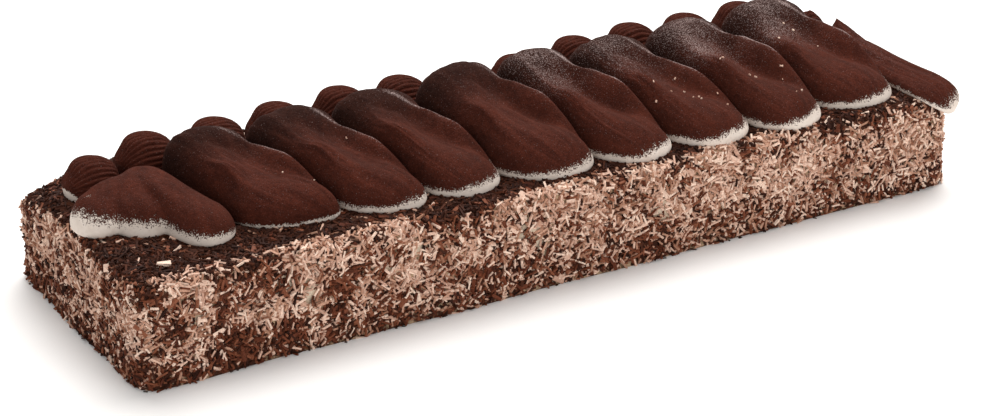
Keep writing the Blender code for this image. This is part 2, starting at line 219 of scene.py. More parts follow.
def pale_share(at, up):
    """How many of the vermicelli are pale at a place of the coat. Fewer on the top, at the foot and
    in the dark band, partly darker strands and partly painted shade; more on the left end, a
    painted light.
    """
    large, small = PATCH_SIZES
    patch = noise.noise(at / large + Vector((4.0, 0, 0))) + 0.7 * noise.noise(at / small)
    lip = LIP_RIGHT * clamp((at.x - 110.0) / 90.0) + LIP_WAVER * patch
    lip += LIP_LEFT * clamp((125.0 - at.x) / 25.0)
    if up > 0.6 and at.y > lip:
        return PALE_ON_TOP + 0.05 * patch
    share = PALE_LEFT + PALE_RIGHT_GAIN * at.x / LENGTH + 0.8 * patch
    # Painted light: the left end gets more pale strands than the walls, which lightens it
    if at.x < 1.5:
        share = PALE_LEFT_END + 0.6 * patch
    foot = clamp((FOOT_SHADE_TOP - at.z) / FOOT_SHADE_FADE)
    return clamp(share, *PALE_RANGE) * (1 - FOOT_SHADE * foot) * (1 - BAND_SHADE * dark_band(at))


def build_coat():
    """The slab's skin in rings from the middle of the underside, up the wall, to the middle of the
    top, with the columns that the finish and the vermicelli read."""
    around = 2 * (LENGTH + WIDTH) - (8 - 2 * math.pi) * CORNER_RADIUS
    columns = round(around / COAT_STEP)
    bend = [math.pi / 2 * k / BEND_RINGS for k in range(1, BEND_RINGS + 1)]
    wall = [(0.0, HEIGHT * k / WALL_RINGS * (1 - TOP_RADIUS / HEIGHT)) for k in range(WALL_RINGS + 1)]
    edge = [(TOP_RADIUS * (1 - math.cos(t)), HEIGHT - TOP_RADIUS * (1 - math.sin(t))) for t in bend]
    lid = [(TOP_RADIUS + k * (WIDTH / 2 - TOP_RADIUS) / LID_RINGS, HEIGHT)
           for k in range(1, LID_RINGS + 1)]
    bm = bmesh.new()
    rings = []
    for inset, z in [(WIDTH / 2, 0.0), *wall, *edge, *lid]:
        ring = []
        for column in range(columns):
            flat, out = outline_point(around * column / columns, inset)
            at = Vector((flat.x, flat.y, z))
            if inset < TOP_RADIUS:
                lump = 0.5 * noise.noise(at / 5.0) + 0.8 * noise.noise(at / 11.0)
                lump += SMEAR_DEPTH * cream_smear(at)
                at += Vector((out.x, out.y, 0)) * (waver(at) + (lump if z > 0 else 0.0) - COAT_SUNK)
            elif z > 0:
                at.z += 0.45 * noise.noise(at / 6.0)
            away = Vector((at.x, at.y - WIDTH)).length / SHOULDER_REACH
            if away < 1.0:
                at.z -= SHOULDER_DROP * (1 - away) * (at.z / HEIGHT) ** 3
            ring.append(bm.verts.new(at))
        rings.append(ring)
    for near, far in zip(rings, rings[1:]):
        for column in range(columns):
            following = (column + 1) % columns
            bm.faces.new((near[column], near[following], far[following], far[column]))
    bmesh.ops.remove_doubles(bm, verts=bm.verts, dist=0.02)
    bmesh.ops.recalc_face_normals(bm, faces=bm.faces)
    bm.normal_update()
    mesh = bpy.data.meshes.new("cream_coat")
    bm.verts.index_update()
    bm.verts.ensure_lookup_table()
    spots = [vert.co.copy() for vert in bm.verts]
    ups = [vert.normal.z for vert in bm.verts]
    for vert in bm.verts:
        vert.co = place(*vert.co)
    bm.to_mesh(mesh)
    bm.free()
    mesh.shade_smooth()
    smear = np.array([cream_smear(at) for at in spots])
    pale = np.array([pale_share(at, up) for at, up in zip(spots, ups)])
    # dark: 1 on the top and in the dark band, where the brown strands come from the darker kinds; partly
    # darker strands, partly painted shade under the petals
    dark = np.array([max(dark_band(at), clamp(2 * up - 0.6)) for at, up in zip(spots, ups)])
    under = np.array([at.z < 0.3 for at in spots])
    hidden = np.array([at.z > HEIGHT - 12 and HIDDEN_Y[0] < at.y < HIDDEN_Y[1]
                       and HIDDEN_X[0] < at.x < HIDDEN_X[1] for at in spots])
    foot = np.array([min(1.0, 0.35 + at.z / 4.0) for at in spots])
    held = np.where(under | hidden, 0.0, (1.0 - 0.85 * smear) * foot)
    set_floats(mesh, {"smear": smear, "pale": pale, "dark": dark, "held": held})
    return new_object("cream_coat", mesh)


coat = build_coat()

# Whipped mascarpone cream, spread with a palette knife and stained by cocoa and chocolate dust:
# matt, soft, cream white where it is bare and brown where the vermicelli cover it.
finish, tree, shader = new_finish("stained_mascarpone", 0.8)
shader.inputs["Specular IOR Level"].default_value = 0.15
where = add_node(tree, "ShaderNodeTexCoord").outputs["Object"]
smear = add_node(tree, "ShaderNodeAttribute", {"attribute_name": "smear"}).outputs["Fac"]
pale = add_node(tree, "ShaderNodeAttribute", {"attribute_name": "pale"}).outputs["Fac"]
stick = add_node(tree, "ShaderNodeTexNoise", None, {"Vector": where, "Scale": 330.0, "Detail": 4.0})
# The stain follows the pale share of the strands, so it carries their painted shade in the dark band and
# at the foot, and their painted light on the left end.
showing = add_node(tree, "ShaderNodeMath", {"operation": "MULTIPLY_ADD"}, {
    0: pale, 1: 0.3, 2: stick.outputs["Fac"]})
between = add_node(tree, "ShaderNodeMapRange", None, {
    "Value": showing.outputs[0], "From Min": 0.60, "From Max": 0.72})
stain = add_node(tree, "ShaderNodeMix", {"data_type": "RGBA"}, {
    "Factor": between.outputs[0], 6: linear("#43261A"), 7: linear("#B79A7C")})
bare = add_node(tree, "ShaderNodeMix", {"data_type": "RGBA"}, {
    "Factor": smear, 6: stain.outputs[2], 7: linear("#C6B6A2")})
tree.links.new(bare.outputs[2], shader.inputs["Base Color"])
lumps = add_node(tree, "ShaderNodeBump", None, {
    "Strength": 0.6, "Distance": 0.0005, "Height": stick.outputs["Fac"]})
tree.links.new(lumps.outputs["Normal"], shader.inputs["Normal"])
coat.data.materials.append(finish)


# ------------------------------------------------------------------ vermicelli
# Short extruded strands of chocolate, brown and cream white, thrown at the soft coat by the
# handful. They lie every way along the wall, a few stand out of it, and they overlap two deep.

STRAND_LENGTH = 0.0046
STRAND_THICKNESS = 0.00092
STRANDS_PER_M2 = 0.62e6

strand_tree = bpy.data.node_groups.new("thrown_vermicelli", "GeometryNodeTree")
strand_tree.is_modifier = True
sockets = strand_tree.interface
for label, kind, start in (
    ("Coat", "NodeSocketGeometry", None),
    ("Strands per m2", "NodeSocketFloat", STRANDS_PER_M2),
    ("Length", "NodeSocketFloat", STRAND_LENGTH),
    ("Thickness", "NodeSocketFloat", STRAND_THICKNESS),
    ("Breadth", "NodeSocketFloat", 1.0),
    ("Roll", "NodeSocketFloat", math.pi / 2),
    ("Tilt", "NodeSocketFloat", 0.42),
    ("Lowest", "NodeSocketFloat", -0.00015),
    ("Highest", "NodeSocketFloat", 0.0012),
    ("From share", "NodeSocketFloat", 0.0),
    ("To share", "NodeSocketFloat", 1.0),
    ("Seed", "NodeSocketInt", 5),
    ("Chocolate", "NodeSocketMaterial", None),
):
    socket = sockets.new_socket(label, in_out="INPUT", socket_type=kind)
    if start is not None:
        socket.default_value = start
sockets.new_socket("Vermicelli", in_out="OUTPUT", socket_type="NodeSocketGeometry")
given = add_node(strand_tree, "NodeGroupInput").outputs
held = add_node(strand_tree, "GeometryNodeInputNamedAttribute", {"data_type": "FLOAT"}, {"Name": "held"})
density = add_node(strand_tree, "ShaderNodeMath", {"operation": "MULTIPLY"}, {
    0: held.outputs[0], 1: given["Strands per m2"]})
spots = add_node(strand_tree, "GeometryNodeDistributePointsOnFaces", None, {
    "Mesh": given["Coat"], "Density": density.outputs[0], "Seed": given["Seed"]})
lift = add_node(strand_tree, "FunctionNodeRandomValue", {"data_type": "FLOAT"}, {
    2: given["Lowest"], 3: given["Highest"], "Seed": 11})
raised = add_node(strand_tree, "ShaderNodeVectorMath", {"operation": "SCALE"}, {
    0: spots.outputs["Normal"], "Scale": lift.outputs[1]})
seated = add_node(strand_tree, "GeometryNodeSetPosition", None, {
    "Geometry": spots.outputs["Points"], "Offset": raised.outputs[0]})
share = add_node(strand_tree, "GeometryNodeInputNamedAttribute", {"data_type": "FLOAT"}, {"Name": "pale"})
draw = add_node(strand_tree, "FunctionNodeRandomValue", {"data_type": "FLOAT"}, {
    2: 0.0, 3: 1.0, "Seed": 12})
pale_rank = add_node(strand_tree, "ShaderNodeMapRange", None, {
    "Value": draw.outputs[1], "From Min": 0.0, "From Max": share.outputs[0],
    "To Min": 0.0, "To Max": 0.5})
# On the top and in the dark band the brown strands are drawn from the darker kinds: partly real darker
# strands, partly painted shade under the petals
shade = add_node(strand_tree, "GeometryNodeInputNamedAttribute", {"data_type": "FLOAT"}, {"Name": "dark"})
darkest = add_node(strand_tree, "ShaderNodeMath", {"operation": "MULTIPLY_ADD"}, {
    0: shade.outputs[0], 1: 0.32, 2: 0.5})
brown_rank = add_node(strand_tree, "ShaderNodeMapRange", None, {
    "Value": draw.outputs[1], "From Min": share.outputs[0], "From Max": 1.0,
    "To Min": darkest.outputs[0], "To Max": 1.0})
is_pale = add_node(strand_tree, "FunctionNodeCompare", {"operation": "LESS_THAN"}, {
    0: draw.outputs[1], 1: share.outputs[0]})
rank = add_node(strand_tree, "GeometryNodeSwitch", {"input_type": "FLOAT"}, {
    "Switch": is_pale.outputs[0], "False": brown_rank.outputs["Result"],
    "True": pale_rank.outputs["Result"]})
above = add_node(strand_tree, "FunctionNodeCompare", {"operation": "GREATER_EQUAL"}, {
    0: rank.outputs[0], 1: given["From share"]})
below = add_node(strand_tree, "FunctionNodeCompare", {"operation": "LESS_THAN"}, {
    0: rank.outputs[0], 1: given["To share"]})
chosen = add_node(strand_tree, "FunctionNodeBooleanMath", {"operation": "AND"}, {
    0: above.outputs[0], 1: below.outputs[0]})
half_thick = add_node(strand_tree, "ShaderNodeMath", {"operation": "MULTIPLY"}, {
    0: given["Thickness"], 1: 0.56})
stick = add_node(strand_tree, "GeometryNodeMeshCylinder", {"fill_type": "NGON"}, {
    "Vertices": 4, "Side Segments": 1, "Radius": half_thick.outputs[0], "Depth": given["Length"]})
level = add_node(strand_tree, "GeometryNodeTransform", None, {
    "Geometry": stick.outputs["Mesh"], "Rotation": (0.0, math.pi / 2, 0.0)})
down = add_node(strand_tree, "ShaderNodeMath", {"operation": "MULTIPLY"}, {0: given["Tilt"], 1: -1.0})
least = add_node(strand_tree, "ShaderNodeCombineXYZ", None, {
    "X": 0.0, "Y": down.outputs[0], "Z": 0.0})
most = add_node(strand_tree, "ShaderNodeCombineXYZ", None, {
    "X": given["Roll"], "Y": given["Tilt"], "Z": math.tau})
turn = add_node(strand_tree, "FunctionNodeRandomValue", {"data_type": "FLOAT_VECTOR"}, {
    0: least.outputs[0], 1: most.outputs[0], "Seed": 13})
turned = add_node(strand_tree, "FunctionNodeRotateRotation", {"rotation_space": "LOCAL"}, {
    0: spots.outputs["Rotation"], 1: turn.outputs[0]})
size = add_node(strand_tree, "FunctionNodeRandomValue", {"data_type": "FLOAT_VECTOR"}, {
    0: (0.5, 0.7, 0.7), 1: (1.25, 1.2, 1.2), "Seed": 14})
broad = add_node(strand_tree, "ShaderNodeCombineXYZ", None, {"X": 1.0, "Y": given["Breadth"], "Z": 1.0})
shaped = add_node(strand_tree, "ShaderNodeVectorMath", {"operation": "MULTIPLY"}, {
    0: size.outputs[0], 1: broad.outputs[0]})
laid = add_node(strand_tree, "GeometryNodeInstanceOnPoints", None, {
    "Points": seated.outputs[0], "Selection": chosen.outputs[0], "Instance": level.outputs[0],
    "Rotation": turned.outputs[0], "Scale": shaped.outputs[0]})
tint = add_node(strand_tree, "FunctionNodeRandomValue", {"data_type": "FLOAT"}, {
    2: 0.0, 3: 1.0, "Seed": 15})
marked = add_node(strand_tree, "GeometryNodeStoreNamedAttribute", {
    "data_type": "FLOAT", "domain": "INSTANCE"}, {
    "Geometry": laid.outputs[0], "Name": "tint", "Value": tint.outputs[1]})
real = add_node(strand_tree, "GeometryNodeRealizeInstances", None, {"Geometry": marked.outputs[0]})
at = add_node(strand_tree, "GeometryNodeInputPosition")
parts = add_node(strand_tree, "ShaderNodeSeparateXYZ", None, {0: at.outputs[0]})
above_table = add_node(strand_tree, "ShaderNodeMath", {"operation": "MAXIMUM"}, {
    0: parts.outputs["Z"], 1: 0.0001})
kept_up = add_node(strand_tree, "ShaderNodeCombineXYZ", None, {
    "X": parts.outputs["X"], "Y": parts.outputs["Y"], "Z": above_table.outputs[0]})
standing = add_node(strand_tree, "GeometryNodeSetPosition", None, {
    "Geometry": real.outputs[0], "Position": kept_up.outputs[0]})
dressed = add_node(strand_tree, "GeometryNodeSetMaterial", None, {
    "Geometry": standing.outputs[0], "Material": given["Chocolate"]})
add_node(strand_tree, "NodeGroupOutput", None, {0: dressed.outputs[0]})
socket_of = {item.name: item.identifier for item in sockets.items_tree if item.in_out == "INPUT"}


def chocolate(name, low, middle, high, roughness):
    """Compound chocolate, extruded and polished in a drum: dull satin, each strand its own tone."""
    finish, tree, shader = new_finish(name, roughness)
    shader.inputs["Specular IOR Level"].default_value = 0.12
    where = add_node(tree, "ShaderNodeTexCoord").outputs["Object"]
    tint = add_node(tree, "ShaderNodeAttribute", {"attribute_name": "tint"}).outputs["Fac"]
    tone = add_node(tree, "ShaderNodeValToRGB", None, {"Fac": tint})
    ramp = tone.color_ramp
    ramp.elements[0].color = linear(low)
    ramp.elements[1].color = linear(high)
    ramp.elements.new(0.5).color = linear(middle)
    bloom = add_node(tree, "ShaderNodeTexNoise", None, {"Vector": where, "Scale": 1400.0, "Detail": 2.0})
    dusted = add_node(tree, "ShaderNodeMapRange", None, {
        "Value": bloom.outputs["Fac"], "From Min": 0.35, "From Max": 0.75,
        "To Min": 0.78, "To Max": 1.1})
    shade = add_node(tree, "ShaderNodeVectorMath", {"operation": "SCALE"}, {
        0: tone.outputs["Color"], "Scale": dusted.outputs["Result"]})
    tree.links.new(shade.outputs[0], shader.inputs["Base Color"])
    grain = add_node(tree, "ShaderNodeBump", None, {
        "Strength": 0.3, "Distance": 0.0001, "Height": bloom.outputs["Fac"]})
    tree.links.new(grain.outputs["Normal"], shader.inputs["Normal"])
    return finish


def throw(name, finish, low, high, **changes):
    """One kind of strand, laid over the coat by the node tree and turned into a plain mesh."""
    carrier = new_object(name, coat.data)
    layer = carrier.modifiers.new("vermicelli", "NODES")
    layer.node_group = strand_tree
    given = {"From share": low, "To share": high, "Chocolate": finish, **changes}
    for label, value in given.items():
        layer[socket_of[label]] = value
    evaluated = carrier.evaluated_get(bpy.context.evaluated_depsgraph_get())
    mesh = bpy.data.meshes.new_from_object(evaluated)
    carrier.modifiers.clear()
    carrier.data = mesh
    return carrier


white_chocolate = chocolate("white_chocolate", "#C29883", "#E0BBA6", "#F3D7C3", 0.55)
blond_chocolate = chocolate("blond_chocolate", "#94654E", "#B0836B", "#CC9F87", 0.55)
milk_chocolate = chocolate("milk_chocolate", "#502618", "#6E3A25", "#8A543C", 0.6)
dark_chocolate = chocolate("dark_chocolate", "#2B140C", "#3E2014", "#552D1C", 0.7)
bitter_chocolate = chocolate("bitter_chocolate", "#27120B", "#371B11", "#482517", 0.7)
SHAVING = {"Strands per m2": 0.06e6, "Length": 0.0048, "Thickness": 0.0008, "Breadth": 2.0,
           "Roll": 0.5, "Tilt": 0.25, "Seed": 8}
CRUMB = {"Strands per m2": 0.5e6, "Length": 0.0014, "Thickness": 0.0010, "Seed": 9}
vermicelli = [
    throw("vermicelli_cream_white", white_chocolate, 0.0, 0.3),
    throw("vermicelli_cream", blond_chocolate, 0.3, 0.5),
    throw("vermicelli_milk", milk_chocolate, 0.5, 0.8),
    throw("vermicelli_dark", dark_chocolate, 0.8, 0.91),
    throw("vermicelli_bitter", bitter_chocolate, 0.91, 1.01),
    throw("shavings_cream", white_chocolate, 0.0, 0.5, **SHAVING),
    throw("shavings_milk", milk_chocolate, 0.5, 1.01, **SHAVING),
    throw("crumbs_milk", milk_chocolate, 0.5, 0.8, **CRUMB),
    throw("crumbs_dark", dark_chocolate, 0.8, 1.01, **CRUMB),
]
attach(coat, "root")
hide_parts("cake_body")
for strands in vermicelli:
    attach(strands, "root")


# ------------------------------------------------------------------ petals
# Mascarpone cream piped with a wide plain tube in one stroke each: a round lobe at the front, a
# drawn-out waist and a high dome at the back. Cocoa is sieved over them from above, so it leaves
# the lower edge of the cream bare.

# Front point x and y, dome x, right end of the front lobe, heights of lobe and dome
PETALS = (
    (88, 19, 54, 100.0, 14.0, 24.5),
    (118, 12, 93, 131.5, 14.5, 25.5),
    (144, 11, 128, 163.5, 15.0, 25.5),
    (186, 8, 168, 202.5, 17.0, 29.0),
    (219, 5, 200, 236.0, 15.0, 28.5),
    (254, 4, 235, 271.5, 15.0, 27.0),
    (287, 2, 272, 305.0, 15.5, 27.5),
    (325, 6, 311, 343.0, 15.0, 29.0),
)
# Height of the bare rim, and how much icing sugar lies on the dome, petal by petal
RIMS = (2.4, 4.2, 4.8, 4.8, 5.0, 4.9, 5.2, 4.7)
FROSTS = (0.0, 0.0, 0.0, 0.05, 0.75, 0.6, 1.0, 0.75)
PETAL_FRONT = 8.0
PETAL_BACK = 78.0
PETAL_FIRST_LEFT = (61.5, 40.5)
PETAL_LAST_BACK = 332.5
LOBE_AT = 0.27
DOME_AT = 0.84
WAIST_WIDTH = 0.07
WAIST_LIFT = 2.0
DOME_WIDTH = 1.0
BODY_LEAN = ((0.0, 0.0), (0.2, -0.3), (0.45, -0.5), (0.84, -0.15), (1.0, -0.15))
SHOULDER_LIFT = 2.5
LEFT_RIDGE = 5.0
LEFT_SPAN = (0.08, 0.42, 0.72)
CREST_HEIGHTS = (0.78, 0.75, 0.75, 0.83, 0.82, 0.75, 0.86, 0.74)
CREST_SPAN = (0.02, 0.48, 0.62)
CREST_FROM_EDGE = (3.0, 4.5)
CREST_REACH = 12.0
LEFT_AT = 3.5
LEFT_REACH = 11.0
HOLLOW_DEPTH = 1.8
BLEND = 3.0
RIM_HEIGHT = 2.2
RIM_TUCK = 1.6
SECTION_POWER = 2.3
RIGHT_POWER = 1.9
LEFT_POWER = 3.2
DOME_POWER = 3.0
END_POWER = 2.5
PLAN_POWER = 2.5
# Places where a finger or the knife rubbed the cocoa off: plan x, y, height and radius
BARE_PATCHES = (
    (8.0, 59.5, 50.0, 4.0), (3.5, 61.0, 42.0, 5.0), (48.3, 76.9, 50.0, 4.0), (8.5, 84.6, 42.0, 5.0),
)
FINE_RINGS = 110
FINE_ARC = 72
DROOP_FROM = 3.0
END_PEAK_SPAN = 0.45


def along_profile(share, lobe, dome, dip, power):
    """A petal's height or width along its stroke: round at both ends, dipped at the waist."""
    if share <= LOBE_AT:
        return lobe * (1 - ((LOBE_AT - share) / LOBE_AT) ** power) ** (1 / power)
    if share >= DOME_AT:
        return dome * (1 - ((share - DOME_AT) / (1 - DOME_AT)) ** power) ** (1 / power)
    between = (share - LOBE_AT) / (DOME_AT - LOBE_AT)
    eased = between * between * (3 - 2 * between)
    return lobe + (dome - lobe) * eased - dip * math.sin(math.pi * between)


def eased_between(knots, share):
    """A value read off knots of (share, value), eased from each to the next."""
    for (start, low), (end, high) in zip(knots, knots[1:]):
        if share <= end:
            part = (share - start) / (end - start)
            return low + (high - low) * part * part * (3 - 2 * part)
    return knots[-1][1]


def smooth_step(low, high, value):
    part = clamp((value - low) / (high - low))
    return part * part * (3 - 2 * part)


def petal_section(share, left, right, lobe, dome, lean, lift, peak, crest):
    """Offsets (across, up, side, crest line) of one ring of a petal. Side runs from 1 right to -1
    left; crest is the height of the ridge that runs down the right side of the dome. The crest line
    is pale grains along that ridge and partly a painted highlight there."""
    width = along_profile(share, 1.0, DOME_WIDTH, WAIST_WIDTH, PLAN_POWER)
    end = END_POWER if crest and share > LOBE_AT else 2.0
    height = RIM_HEIGHT + along_profile(share, lobe, dome, -lift, end) * (1 - RIM_HEIGHT / dome)
    pulled = max(0.0, 1 - (1 - share) / END_PEAK_SPAN)
    height = max(height, peak * pulled ** 1.5)
    starts, full, turns = CREST_SPAN
    turning = smooth_step(turns, DOME_AT, share)
    if crest and LOBE_AT < share < DOME_AT:
        shoulder = lobe + SHOULDER_LIFT * smooth_step(LOBE_AT, full, share)
        climbed = smooth_step(full, DOME_AT, share)
        height = RIM_HEIGHT + (shoulder + (dome - shoulder) * climbed) * (1 - RIM_HEIGHT / dome)
    middle = eased_between(lean, share) * right * width
    edge = right * width
    rising = smooth_step(starts, full, share)
    ridge = RIM_HEIGHT + (crest * dome - RIM_HEIGHT) * rising * (1 - turning)
    ridge += (height - RIM_HEIGHT) * turning
    inner = CREST_FROM_EDGE[0] + (CREST_FROM_EDGE[1] - CREST_FROM_EDGE[0]) * rising
    ridge_at = (edge - inner) * (1 - turning) + middle * turning
    starts, full, ends = LEFT_SPAN
    swell = smooth_step(starts, full, share) * (1 - smooth_step(full, ends, share))
    right_power = left_power = SECTION_POWER
    if crest:
        right_power = RIGHT_POWER + (DOME_POWER - RIGHT_POWER) * turning
        left_power = LEFT_POWER + (DOME_POWER - LEFT_POWER) * turning
    ring = []
    for step in range(FINE_ARC + 1):
        angle = math.pi * step / FINE_ARC
        power = right_power if step * 2 <= FINE_ARC else left_power
        reach = abs(math.cos(angle)) ** (2 / power)
        rise = math.sin(angle) ** (2 / power) if 0 < step < FINE_ARC else 0.0
        if step * 2 <= FINE_ARC:
            across = middle + (edge - middle) * reach
        else:
            across = middle - (left * width + middle) * reach
        up = RIM_HEIGHT + (height - RIM_HEIGHT) * rise
        crest_dust_and_glint = 0.0
        if crest:
            off = across - ridge_at
            if off > 0:
                fall = max(0.0, 1 - (off / (edge - ridge_at)) ** 2.5) ** 0.4
            else:
                fall = max(0.0, 1 - (-off / CREST_REACH) ** 1.6)
            over = RIM_HEIGHT + (ridge - RIM_HEIGHT) * fall
            from_left = across + left * width
            if from_left > LEFT_AT:
                slope = max(0.0, 1 - ((from_left - LEFT_AT) / LEFT_REACH) ** 2)
            else:
                slope = rise
            up += LEFT_RIDGE * swell * slope * slope
            up -= HOLLOW_DEPTH * math.exp(-((off + 9) / 4) ** 2) * rising * (1 - turning) * rise
            soft = BLEND * min(1.0, 2 * rise) + 0.001
            near = max(soft - abs(up - over), 0.0) / soft
            up = max(up, over) + near * near * soft / 4
            # A pale line of grains along the ridge, partly a painted highlight there
            crest_dust_and_glint = math.exp(-((off - 1.2 - 7.0 * turning) / (1.4 + turning)) ** 2)
            crest_dust_and_glint *= smooth_step(0.34, 0.48, share) * (1 - smooth_step(0.78, 0.9, share))
        ring.append((across, up, math.cos(angle), crest_dust_and_glint))
    tuck = min(RIM_TUCK, 0.3 * width * left)
    for side, half, steps in ((-1.0, left * width, (1, 2, 3)), (1.0, right * width, (3, 2, 1))):
        for k in steps:
            bulge = tuck * (1 - math.cos(math.pi / 2 * k / 3))
            ring.append((side * (half - bulge), RIM_HEIGHT * (1 - k / 3), side, 0.0))
    return ring


def close_rings(name, bm, loops, first, last):
    """Join rings of points into one closed smooth mesh, with a fan of faces at either end."""
    count = len(loops[0])
    for k in range(count):
        following = (k + 1) % count
        bm.faces.new((first, loops[0][following], loops[0][k]))
        bm.faces.new((last, loops[-1][k], loops[-1][following]))
        for near, far in zip(loops, loops[1:]):
            bm.faces.new((near[k], near[following], far[following], far[k]))
    bmesh.ops.recalc_face_normals(bm, faces=bm.faces)
    mesh = bpy.data.meshes.new(name)
    bm.to_mesh(mesh)
    bm.free()
    mesh.shade_smooth()
    return mesh


def fine_petal(name, front, back, across, left, right, lobe, dome, rim, frost, lean=BODY_LEAN,
               lift=WAIST_LIFT, droop=0.0, peak=RIM_HEIGHT, crest=0.0, most_dimming=1.0):
    """One piped stroke from its front point to its back, its halves given along the stroke."""
    front = Vector(front)
    line = Vector(back) - front
    seed = Vector((front.x, 0.37 * front.x, 7.0))
    bm = bmesh.new()
    loops = []
    facts = []
    for step in range(1, FINE_RINGS):
        share = (1 - math.cos(math.pi * step / FINE_RINGS)) / 2
        middle = front + line * share
        loop = []
        for offset, up, side, crest_dust_and_glint in petal_section(share, left(share), right(share), lobe, dome,
                                                    lean, lift, peak, crest):
            at = middle + across * offset
            stroke = Vector((side * 3.2, share * 2.2, 0)) + seed
            ripple = noise.noise(stroke) * 0.8 + noise.noise(stroke * 2.6) * 0.35
            ripple *= min(1.0, up / 6.0)
            spread = noise.noise(Vector((at.x / 7.0, at.y / 7.0, 3.0))) * 0.5 if 0 < up < 5 else 0.0
            at = at + across * side * spread
            fall = droop * max(0.0, DROOP_FROM - at.y) ** 2
            loop.append(bm.verts.new(place(at.x, at.y, HEIGHT + GAP + up + ripple - fall)))
            facts.append((up, share, side, crest_dust_and_glint))
        loops.append(loop)
    fall = droop * max(0.0, DROOP_FROM - front.y) ** 2
    tip = bm.verts.new(place(front.x, front.y, HEIGHT + GAP + RIM_HEIGHT * 0.6 - fall))
    tail = bm.verts.new(place(back[0], back[1], HEIGHT + GAP + peak))
    facts += [(1.3, 0.0, 0.0, 0.0), (peak, 1.0, 0.0, 0.0)]
    mesh = close_rings(name, bm, loops, tip, tail)
    mark_petal(mesh, facts, rim, frost, most_dimming=most_dimming)
    return new_object(name, mesh)


def mark_petal(mesh, facts, rim, frost, rim_tilt=0.22, most_dimming=1.0, worn=0.0):
    """Columns for the finish: height over the foot in rims, less where the cocoa is worn off,
    a painted shade that darkens and greys the back of the stroke and lightens instead where it is
    negative, the icing frost on the domes with the crest line, partly a painted highlight, and the
    way that the cream was drawn."""
    ups, shares, sides, crest_dusts_and_glints = (np.array(column, dtype=np.float32) for column in zip(*facts))
    local_rim = rim * (0.35 + 0.65 * np.clip((0.62 - shares) / 0.3, 0, 1))
    local_rim = local_rim * (1.0 + rim_tilt * sides)
    sugar_and_glint = frost * np.clip((shares - 0.34) / 0.26, 0, 1) * np.clip((1.04 - shares) / 0.2, 0, 1)
    sugar_and_glint *= np.clip(1.05 - 0.9 * np.abs(sides + 0.1), 0.15, 1)
    sugar_and_glint = np.maximum(sugar_and_glint, crest_dusts_and_glints * (1.0 + 0.5 * frost))
    # Painted shade: darker and greyer towards the back of the stroke; where negative, it lightens
    dimming = most_dimming * np.clip((shares - 0.5) / 0.28, 0, 1)
    dimming *= np.clip(1.0 - (shares - 0.88) / 0.2, 0.4, 1)
    flow = np.stack([sides * 14.0, shares * 14.0, np.full_like(sides, rim * 31.0)], axis=1)
    over = ups / local_rim - worn
    spots = np.empty(3 * len(mesh.vertices), dtype=np.float32)
    mesh.vertices.foreach_get("co", spots)
    for x, y, z, radius in BARE_PATCHES:
        away = np.linalg.norm(spots.reshape(-1, 3) - np.array(place(x, y, z)), axis=1) / (radius * MM)
        over -= 2.0 * np.clip(1.3 - away, 0, 1)
    set_floats(mesh, {"over_rim": over, "dimming": dimming, "sugar_and_glint": sugar_and_glint})
    mesh.attributes.new("flow", "FLOAT_VECTOR", "POINT").data.foreach_set(
        "vector", flow.astype(np.float32).ravel())


